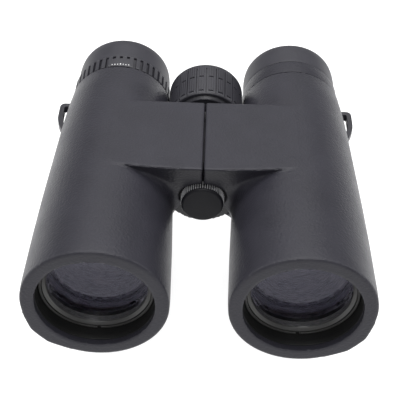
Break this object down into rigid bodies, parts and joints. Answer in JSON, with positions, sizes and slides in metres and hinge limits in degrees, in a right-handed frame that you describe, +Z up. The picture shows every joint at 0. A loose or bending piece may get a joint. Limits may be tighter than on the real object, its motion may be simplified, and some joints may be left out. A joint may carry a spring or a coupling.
{
  "type": "binoculars",
  "caption": "Full-size roof-prism binoculars with straight barrels, a folding bridge hinge, a central focusing wheel, twist-up eyecups and a screw-in tripod socket cap.",
  "frame": {"origin": "middle of the length and width, on the surface that the barrels lie on, with the hinge at x = 0", "axes": "+Z up, +Y towards the eyepieces, the objectives face -Y, and +X is the user's left"},
  "size_m": [0.1258, 0.1388, 0.0528],
  "materials": {
    "armour_rubber": "fine pebble grain, matt",
    "eyecup_rubber": "smooth matt",
    "grip_rubber": "ribbed, matt",
    "charcoal_plastic": "matt",
    "black_plastic": "matt",
    "casting": "satin black paint",
    "blackened_metal": "black anodised",
    "aluminium": "turned",
    "steel": "ground",
    "brass": "turned",
    "optical_glass": "polished, coated"
  },
  "bodies": {
    "left_barrel": {"left_housing": "casting", "left_objective_tube": "casting", "left_armour": "armour_rubber", "left_objective_retainer": "blackened_metal", "left_objective_cell": "blackened_metal", "left_crown_lens": "optical_glass", "left_flint_lens": "optical_glass", "left_baffle": "black_plastic", "left_prism_frame": "black_plastic", "left_half_penta_prism": "optical_glass", "left_roof_prism": "optical_glass", "left_eyepiece_tube": "blackened_metal", "left_strap_lug": "charcoal_plastic", "left_eye_cell": "black_plastic", "left_field_lens": "optical_glass", "left_eye_lens": "optical_glass", "left_collar": "armour_rubber", "hinge_axle": "steel", "thrust_washer": "brass", "hinge_nut": "blackened_metal", "tripod_socket": "blackened_metal"},
    "right_barrel": {"right_housing": "casting", "right_objective_tube": "casting", "right_armour": "armour_rubber", "right_objective_retainer": "blackened_metal", "right_objective_cell": "blackened_metal", "right_crown_lens": "optical_glass", "right_flint_lens": "optical_glass", "right_baffle": "black_plastic", "right_prism_frame": "black_plastic", "right_half_penta_prism": "optical_glass", "right_roof_prism": "optical_glass", "right_eyepiece_tube": "blackened_metal", "right_strap_lug": "charcoal_plastic", "hinge_bush": "brass"},
    "focus_wheel": {"focus_wheel": "charcoal_plastic", "focus_grip": "grip_rubber", "focus_screw": "steel", "wheel_cap": "charcoal_plastic"},
    "focus_carriage": {"focus_carriage": "aluminium", "focus_nut": "brass"},
    "left_focus_group": {"left_focus_cell": "black_plastic", "left_focus_lens": "optical_glass"},
    "left_eyecup_cam": {"left_eyecup_cam": "black_plastic"},
    "left_eyecup": {"left_eyecup_sleeve": "black_plastic", "left_eyecup_rubber": "eyecup_rubber"},
    "right_focus_group": {"right_focus_cell": "black_plastic", "right_focus_lens": "optical_glass"},
    "right_eyecup_cam": {"right_eyecup_cam": "black_plastic"},
    "right_eyecup": {"right_eyecup_sleeve": "black_plastic", "right_eyecup_rubber": "eyecup_rubber"},
    "dioptre_ring": {"dioptre_ring": "grip_rubber"},
    "right_eye_optics": {"right_eye_cell": "black_plastic", "right_field_lens": "optical_glass", "right_eye_lens": "optical_glass"},
    "cap_washer": {"cap_washer": "grip_rubber"},
    "tripod_cap": {"tripod_cap": "charcoal_plastic"}
  },
  "joints": [
    {"name": "barrel_fold", "type": "hinge", "parent": "left_barrel", "child": "right_barrel", "pos_m": [0, -0.01195, 0.0324], "axis": [0, -1, 0], "range_deg": [0, 63]},
    {"name": "focus_turn", "type": "hinge", "parent": "left_barrel", "child": "focus_wheel", "pos_m": [0, -0.01195, 0.0324], "axis": [0, 1, 0], "range_deg": [-270, 270]},
    {"name": "carriage_slide", "type": "slide", "parent": "left_barrel", "child": "focus_carriage", "axis": [0, 1, 0], "range_m": [-0.0025, 0.0025]},
    {"name": "left_focus_slide", "type": "slide", "parent": "left_barrel", "child": "left_focus_group", "axis": [0, 1, 0], "range_m": [-0.0025, 0.0025]},
    {"name": "right_focus_slide", "type": "slide", "parent": "right_barrel", "child": "right_focus_group", "axis": [0, 1, 0], "range_m": [-0.0025, 0.0025]},
    {"name": "dioptre_turn", "type": "hinge", "parent": "right_barrel", "child": "dioptre_ring", "pos_m": [-0.0365, 0.04555, 0.0264], "axis": [0, 1, 0], "range_deg": [-45, 45]},
    {"name": "right_eye_optics_slide", "type": "slide", "parent": "right_barrel", "child": "right_eye_optics", "axis": [0, 1, 0], "range_m": [-0.0015, 0.0015]},
    {"name": "left_eyecup_twist", "type": "hinge", "parent": "left_barrel", "child": "left_eyecup_cam", "pos_m": [0.0365, 0.04555, 0.0264], "axis": [0, -1, 0], "range_deg": [0, 240]},
    {"name": "left_eyecup_rise", "type": "slide", "parent": "left_eyecup_cam", "child": "left_eyecup", "axis": [0, 1, 0], "range_m": [0, 0.007]},
    {"name": "right_eyecup_twist", "type": "hinge", "parent": "right_barrel", "child": "right_eyecup_cam", "pos_m": [-0.0365, 0.04555, 0.0264], "axis": [0, -1, 0], "range_deg": [0, 240]},
    {"name": "right_eyecup_rise", "type": "slide", "parent": "right_eyecup_cam", "child": "right_eyecup", "axis": [0, 1, 0], "range_m": [0, 0.007]},
    {"name": "cap_lift", "type": "slide", "parent": "left_barrel", "child": "cap_washer", "axis": [0, -1, 0], "range_m": [0, 0.0062]},
    {"name": "cap_turn", "type": "hinge", "parent": "cap_washer", "child": "tripod_cap", "pos_m": [0, -0.01195, 0.0324], "axis": [0, -1, 0], "range_deg": [0, 1750]}
  ],
  "couplings": [
    {"joint": "carriage_slide", "follows": "focus_turn", "m_per_rad": 0.00053},
    {"joint": "left_focus_slide", "follows": "focus_turn", "m_per_rad": 0.00053},
    {"joint": "right_focus_slide", "follows": "focus_turn", "m_per_rad": 0.00053},
    {"joint": "right_eye_optics_slide", "follows": "dioptre_turn", "m_per_rad": 0.0019},
    {"joint": "left_eyecup_rise", "follows": "left_eyecup_twist", "m_per_rad": 0.00167},
    {"joint": "right_eyecup_rise", "follows": "right_eyecup_twist", "m_per_rad": 0.00167}
  ]
}
